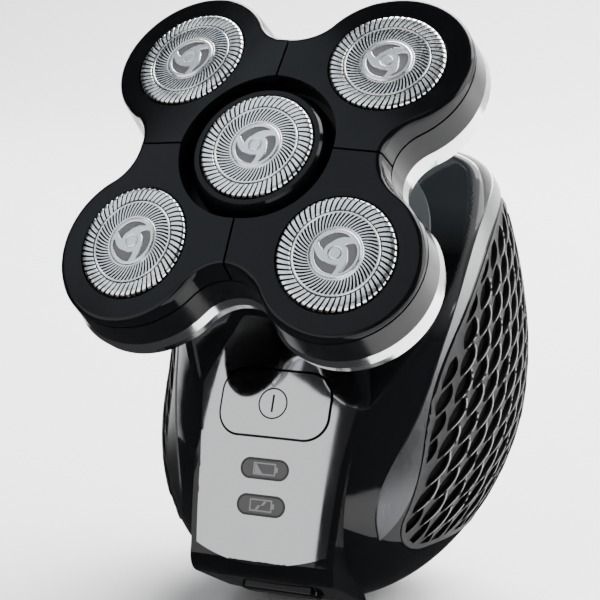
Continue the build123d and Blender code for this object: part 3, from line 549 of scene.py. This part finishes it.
# every badge stands the same way up on the head, whichever way its pod points
BADGE_ANGLE = radians(50)
for place in ("centre", *LOBES):
    matrix = pod_matrix(place)
    turn = BADGE_ANGLE - radians(LOBES.get(place, 0))
    cap = repeated(cap_pattern, f"slotted_cap_{place}", matrix, turn)
    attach(cap, f"{place}_pod")
    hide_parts(f"cap_{place}")
    badge = repeated(badge_pattern, f"swirl_badge_{place}", matrix, turn)
    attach(badge, f"{place}_pod")
    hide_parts(f"badge_{place}")
for pattern in (cap_pattern, badge_pattern):
    bpy.data.objects.remove(pattern)

# ---- grips with a scale pattern ----------------------------------------------------------------

# the palm body's level sections, in millimetres
WIDEST, WIDEST_Z, BELOW, ABOVE, CROWN_Z, TOP_Z = 35.4, 37.0, 38.5, 70.0, 66.0, 85.8
PROUD = 0.2
# the pattern's lattice, as (degrees round the body, height)
SCALE_FROM = (-17.3, 62.0)
SCALE_ALONG = (5.2, -2.75)
SCALE_DOWN = (-1.5, -4.75)
SCALE_TIP = (-5.0, -5.9)
ALONG_RANGE, DOWN_RANGE = range(-14, 40), range(-40, 40)
SWELL_RIGHT, SWELL_LEFT = 2.6, 1.9   # how far an almond's sides swell out, in degrees
SIDE_STEPS = 9                       # segments along each side of an almond
ARC = 34.0 * pi / 180                # millimetres in a degree round the body
STRIP = 0.95                         # the plain strip inside the border
LEDGE = 0.25                         # how far a cut recess's floor stays inside its edge
GRID = 1.1                           # spacing of the points between the recesses
# heights from the border's: recesses' edges, the ground between them, floors and the outer wall
EDGE, GROUND, FLOOR, WALL_FOOT = -0.2, -0.3, -1.15, -1.7
CELL_X, CELL_Z = 4, 5                # boxes that recesses are sorted into, to find them fast
# rubbers by face: plain, painted shade in recesses, painted highlight on ridges
PLAIN, RECESS_SHADE, RIDGE_HIGHLIGHT = 0, 1, 2


def section(z, grow):
    """Centre, half width and half depth of the palm body's level section."""
    swing = min(max(z, 0), 51) - 26
    semi = (BELOW if z < WIDEST_Z else ABOVE) + grow
    r = (WIDEST + grow) * sqrt(max(0.0, 1 - ((z - WIDEST_Z) / semi) ** 2))
    crown = max(0.0, (z - CROWN_Z) / (TOP_Z + grow - CROWN_Z))
    return 7.5 + 7.5 * sin(pi * swing / 50), r * sqrt(1 - crown**12), r * sqrt(1 - crown**2.5)


def on_palm(x, z, grow):
    """A point of the right grip's surface, from its flat plan, raised or sunk by an amount."""
    cy, a, b = section(z, PROUD)
    angle = radians(x / ARC)
    c, s = cos(angle), sin(angle)
    r = 1 / sqrt((c / a) ** 2 + (s / b) ** 2) + grow
    return Vector((r * c, cy + r * s, z))


def flat(point):
    """An (angle, height) point in the grip's flat plan, in millimetres."""
    return point[0] * ARC, point[1]


def palm_plan(p):
    """A point of the grip's surface in its flat plan."""
    cy = section(p.z, PROUD)[0]
    return flat((atan2(p.y - cy, p.x) * 180 / pi, p.z))


def area_of(points):
    return sum(
        points[i - 1][0] * p[1] - p[0] * points[i - 1][1] for i, p in enumerate(points)
    ) / 2


def grip_border():
    """The right grip's outer border in its flat plan, anticlockwise, read from its CAD mesh."""
    bm = bmesh.new()
    bm.from_mesh(nodes["right_grip"].data)
    bmesh.ops.remove_doubles(bm, verts=bm.verts, dist=1e-6)
    skin = set()
    for face in bm.faces:
        middle = face.calc_center_median() / MM
        cy, a, b = section(middle.z, 0)
        out = Vector((middle.x / a**2, (middle.y - cy) / b**2, 0)).normalized()
        reach = sqrt((middle.x / a) ** 2 + ((middle.y - cy) / b) ** 2)
        if reach > 1 and face.normal.dot(out) > 0.3:
            skin.add(face)
    links = {}
    for edge in bm.edges:
        if sum(face in skin for face in edge.link_faces) == 1:
            a, b = edge.verts
            links.setdefault(a, []).append(b)
            links.setdefault(b, []).append(a)
    loops = []
    while links:
        loop, before = [next(iter(links))], None
        while True:
            after = [v for v in links[loop[-1]] if v is not before]
            if not after or after[0] is loop[0]:
                break
            before = loop[-1]
            loop.append(after[0])
        for v in loop:
            links.pop(v, None)
        loops.append([palm_plan(v.co / MM) for v in loop])
    bm.free()
    border = max(loops, key=len)
    return border if area_of(border) > 0 else border[::-1]


def inside(point, polygon):
    hit, (x, y) = False, point
    for i, (x1, y1) in enumerate(polygon):
        x0, y0 = polygon[i - 1]
        if (y0 > y) != (y1 > y) and x < x0 + (x1 - x0) * (y - y0) / (y1 - y0):
            hit = not hit
    return hit


def nearest_on(border, p):
    """Distance from the border, the border's nearest point and its inward normal."""
    best = None
    for i, a in enumerate(border):
        b = border[(i + 1) % len(border)]
        dx, dy = b[0] - a[0], b[1] - a[1]
        size = dx * dx + dy * dy
        if size == 0:
            continue
        t = min(1.0, max(0.0, ((p[0] - a[0]) * dx + (p[1] - a[1]) * dy) / size))
        q = (a[0] + dx * t, a[1] + dy * t)
        d = sqrt((p[0] - q[0]) ** 2 + (p[1] - q[1]) ** 2)
        if best is None or d < best[0]:
            m = sqrt(size)
            best = (d, q, (-dy / m, dx / m))
    return best


def clipped(polygon, point, normal, inset):
    """The part of a polygon that is further than an inset on a line's inner side."""
    kept = []
    point = (point[0] + normal[0] * inset, point[1] + normal[1] * inset)
    for i, p in enumerate(polygon):
        q = polygon[i - 1]
        dp = (p[0] - point[0]) * normal[0] + (p[1] - point[1]) * normal[1]
        dq = (q[0] - point[0]) * normal[0] + (q[1] - point[1]) * normal[1]
        if dp * dq < 0:
            t = dq / (dq - dp)
            kept.append((q[0] + (p[0] - q[0]) * t, q[1] + (p[1] - q[1]) * t))
        if dp > 0:
            kept.append(p)
    return kept


def scale_outline(tip, shrink_left=0.0, shrink_right=0.0, shrink_ends=0.0):
    """An almond, from its top tip down its right side and back up its left side."""
    right, left = [], []
    for k in range(SIDE_STEPS + 1):
        t = shrink_ends + (1 - 2 * shrink_ends) * k / SIDE_STEPS
        swell = 4 * t * (1 - t)
        x, z = tip[0] + SCALE_TIP[0] * t, tip[1] + SCALE_TIP[1] * t
        right.append((x + SWELL_RIGHT * swell - shrink_right, z))
        left.append((x - SWELL_LEFT * swell + shrink_left, z))
    if shrink_ends == 0:
        left = left[1:-1]    # both sides share the tips
    return [flat(p) for p in right + left[::-1]]


def scale_at(tip, middle, border):
    """A recess's edge and floor, and the ridge lines beside it, or None where it doesn't fit.

    A recess that reaches the plain strip inside the border is cut off there and has no ridge."""
    outline = scale_outline(tip)
    floor = scale_outline(tip, 0.45, 0.25, 0.06)
    centred = inside(middle, border)
    reach = [nearest_on(border, p) for p in outline[::3]]
    if all(inside(p, border) for p in outline) and min(r[0] for r in reach) >= STRIP:
        # ridge strips only down the right side, for the painted highlight there
        right_sides = [scale_outline(tip, 0, shrink, 0.07) for shrink in (-0.15, -0.65)]
        return outline, floor, [side[:SIDE_STEPS + 1] for side in right_sides]
    full = abs(area_of(outline))
    cuts = [] if centred else [nearest_on(border, middle)]
    cuts += [r for r in reach if r[0] < STRIP + 0.6 or not centred]
    for _, point, normal in cuts:
        outline = clipped(outline, point, normal, STRIP)
        floor = clipped(floor, point, normal, STRIP + LEDGE)
    if abs(area_of(outline)) < 0.22 * full or abs(area_of(floor)) < 0.1 * full:
        return None
    if any(not inside(p, border) for p in outline):
        return None
    return outline, floor, []


def grip_plan(border):
    """The plan's points, heights and edges, its recesses' outlines and its ridges' points."""
    coords, heights, edges, recesses, crests = [], [], [], [], set()

    def add_line(points, height, closed=True):
        base, count = len(coords), len(points)
        coords.extend(Vector(p) for p in points)
        heights.extend([height] * count)
        edges.extend(
            (base + k, base + (k + 1) % count) for k in range(count if closed else count - 1)
        )

    add_line(border, 0.0)
    (low_x, high_x), (low_z, high_z) = [
        (min(p[k] for p in border), max(p[k] for p in border)) for k in (0, 1)
    ]
    for i in ALONG_RANGE:
        for j in DOWN_RANGE:
            tip = tuple(
                SCALE_FROM[k] + i * SCALE_ALONG[k] + j * SCALE_DOWN[k] for k in (0, 1)
            )
            middle = flat((tip[0] + SCALE_TIP[0] / 2, tip[1] + SCALE_TIP[1] / 2))
            if not (low_x - 3 < middle[0] < high_x + 3 and low_z - 3 < middle[1] < high_z + 3):
                continue
            scale = scale_at(tip, middle, border)
            if scale is None:
                continue
            outline, floor, ridges = scale
            recesses.append(outline)
            add_line(outline, EDGE)
            add_line(floor, FLOOR)
            for ridge in ridges:
                crests.update(range(len(coords), len(coords) + len(ridge)))
                add_line(ridge, 0.0, closed=False)

    def is_ground(x, z):
        if not inside((x, z), border) or nearest_on(border, (x, z))[0] <= 0.7:
            return False
        near = (r for r in recesses if abs(r[0][0] - x) < 6 and abs(r[0][1] - z) < 7)
        return not any(inside((x, z), r) for r in near)

    z = low_z
    while z < high_z:
        x = low_x
        while x < high_x:
            if is_ground(x, z):
                coords.append(Vector((x, z)))
                heights.append(GROUND)
            x += GRID
        z += GRID
    return coords, heights, edges, recesses, crests


def grip_skin():
    """The right grip's skin: raised ribs round almond-shaped recesses."""
    border = grip_border()
    n = len(border)
    coords, heights, edges, recesses, crests = grip_plan(border)
    result = delaunay_2d_cdt(coords, edges, [list(range(n))], 1, 1e-4)
    plan, triangles, origins = result[0], result[2], result[3]
    on_crest = [any(k in crests for k in origin) for origin in origins]
    verts = [
        on_palm(p.x, p.y, heights[origin[0]] if origin else EDGE)
        for p, origin in zip(plan, origins)
    ]
    cells = {}
    for r in recesses:
        cx, cz = (sum(p[k] for p in r) / len(r) for k in (0, 1))
        cells.setdefault((int(cx // CELL_X), int(cz // CELL_Z)), []).append(r)
    faces, shades = [], []
    for t in triangles:
        x, z = (sum(plan[v][k] for v in t) / 3 for k in (0, 1))
        col, row = int(x // CELL_X), int(z // CELL_Z)
        near = [
            r for a in (-1, 0, 1) for b in (-1, 0, 1) for r in cells.get((col + a, row + b), [])
        ]
        faces.append(tuple(t))
        # painted shade inside recesses, painted highlight on the strips between ridge lines
        if any(inside((x, z), r) for r in near):
            shades.append(RECESS_SHADE)
        else:
            shades.append(RIDGE_HIGHLIGHT if all(on_crest[v] for v in t) else PLAIN)
    # a wall round the border, down into the shell's seat
    rim = {origin[0]: k for k, origin in enumerate(origins) if origin and origin[0] < n}
    ring = [rim[i] for i in range(n) if i in rim]
    base, count = len(verts), len(ring)
    verts += [on_palm(plan[k].x, plan[k].y, WALL_FOOT) for k in ring]
    for i, j in zip(range(count), [*range(1, count), 0]):
        faces.append((ring[i], base + i, base + j, ring[j]))
        shades.append(PLAIN)
    return verts, faces, shades


verts, faces, shades = grip_skin()
for side, sign in (("right", 1), ("left", -1)):
    points = [(p[0] * sign, p[1], p[2]) for p in verts]
    turned = faces if sign > 0 else [f[::-1] for f in faces]
    rubbers = [rubber, recess_painted_shade, ridge_painted_highlight]
    skin = mesh_object(f"scaled_grip_{side}", points, turned, rubbers, shades)
    sharpen(skin, 32)
    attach(skin, "handle")
    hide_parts(f"{side}_grip")

# ---- floor, light and camera -------------------------------------------------------------------

floor_shade = Shade("pale_floor", (0.9, 0.9, 0.9), 0.7)
floor_shade.bump(40, 3, 0.02, 0.001)
# how far the floor reaches, where it turns up into the wall and with what radius, the wall's top,
# and the seams between its three sheets, in metres
FAR, TURN_Y, SWEEP, WALL_TOP = 8.0, 1.2, 0.8, 3.0
SEAM_X, SEAM_Y = 0.035, 0.12
SWEEP_STEPS = 12


def floor_sheet(name, left, right, profile):
    """A sheet between two x positions over a profile of (y, z) points, in metres."""
    points = [(x / MM, y / MM, z / MM) for y, z in profile for x in (left, right)]
    quads = [(2 * k, 2 * k + 1, 2 * k + 3, 2 * k + 2) for k in range(len(profile) - 1)]
    sheet = mesh_object(name, points, quads, [floor_shade])
    return sheet


turns = [pi / 2 * k / SWEEP_STEPS for k in range(1, SWEEP_STEPS + 1)]
curve = [(TURN_Y + SWEEP * sin(a), SWEEP * (1 - cos(a))) for a in turns]
behind = [(SEAM_Y, 0.0), (TURN_Y, 0.0), *curve, (TURN_Y + SWEEP, WALL_TOP)]
floor_sheet("floor_behind", -FAR, FAR, behind)
floor_sheet("floor_right", SEAM_X, FAR, [(-FAR, 0.0), (SEAM_Y, 0.0)])
# the gloss black parts mirror no floor in front of them, as if black card lay there
front = floor_sheet("floor_left", -FAR, SEAM_X, [(-FAR, 0.0), (SEAM_Y, 0.0)])
front.visible_glossy = False


def lamp(name, towards, distance, size, power, color=(1, 1, 1), aim=(0, 0.005, 0.06)):
    """A soft rectangular lamp in a direction from the point that it faces."""
    data = bpy.data.lights.new(name, "AREA")
    data.shape = "RECTANGLE"
    data.size, data.size_y = size
    data.energy = power
    data.color = color
    obj = added(name, data)
    target = Vector(aim)
    obj.location = target + Vector(towards).normalized() * distance
    obj.rotation_mode = "QUATERNION"
    obj.rotation_quaternion = (target - obj.location).to_track_quat("-Z", "Y")


lamp("front_left_wall", (-0.45, -0.85, 0.20), 1.0, (1.15, 0.75), 5.3)
lamp("overhead", (-0.40, -0.42, 0.82), 1.0, (0.8, 0.7), 2.3, (0.86, 0.93, 1.0))
lamp("right_side", (0.88, 0.25, 0.42), 0.9, (0.8, 0.7), 11.0)
lamp("ceiling", (0.2, 0.55, 0.9), 1.3, (1.4, 0.9), 46.0)
lamp("backdrop", (0.0, 0.35, 1.0), 1.6, (2.4, 1.2), 400.0, aim=(0, 1.6, 0.5))

world = bpy.data.worlds.new("studio")
world.use_nodes = True
background = world.node_tree.nodes["Background"]
background.inputs["Color"].default_value = (0.9, 0.92, 0.95, 1)
background.inputs["Strength"].default_value = 0.05
bpy.context.scene.world = world

# the photograph's view, in degrees and metres
AZIMUTH, ELEVATION, LENS = radians(24.09), radians(9.157), 112.88
CAMERA_AT = Vector((0.14121, -0.32554, 0.11348))
camera_data = bpy.data.cameras.new("camera")
camera_data.lens = LENS
camera_data.sensor_width = 36
camera_data.clip_start, camera_data.clip_end = 0.01, 20
camera = added("camera", camera_data)
back = Vector((sin(AZIMUTH) * cos(ELEVATION), -cos(AZIMUTH) * cos(ELEVATION), sin(ELEVATION)))
right = Vector((cos(AZIMUTH), sin(AZIMUTH), 0))
camera.matrix_world = placed(CAMERA_AT, right, back.cross(right), back)
bpy.context.scene.camera = camera
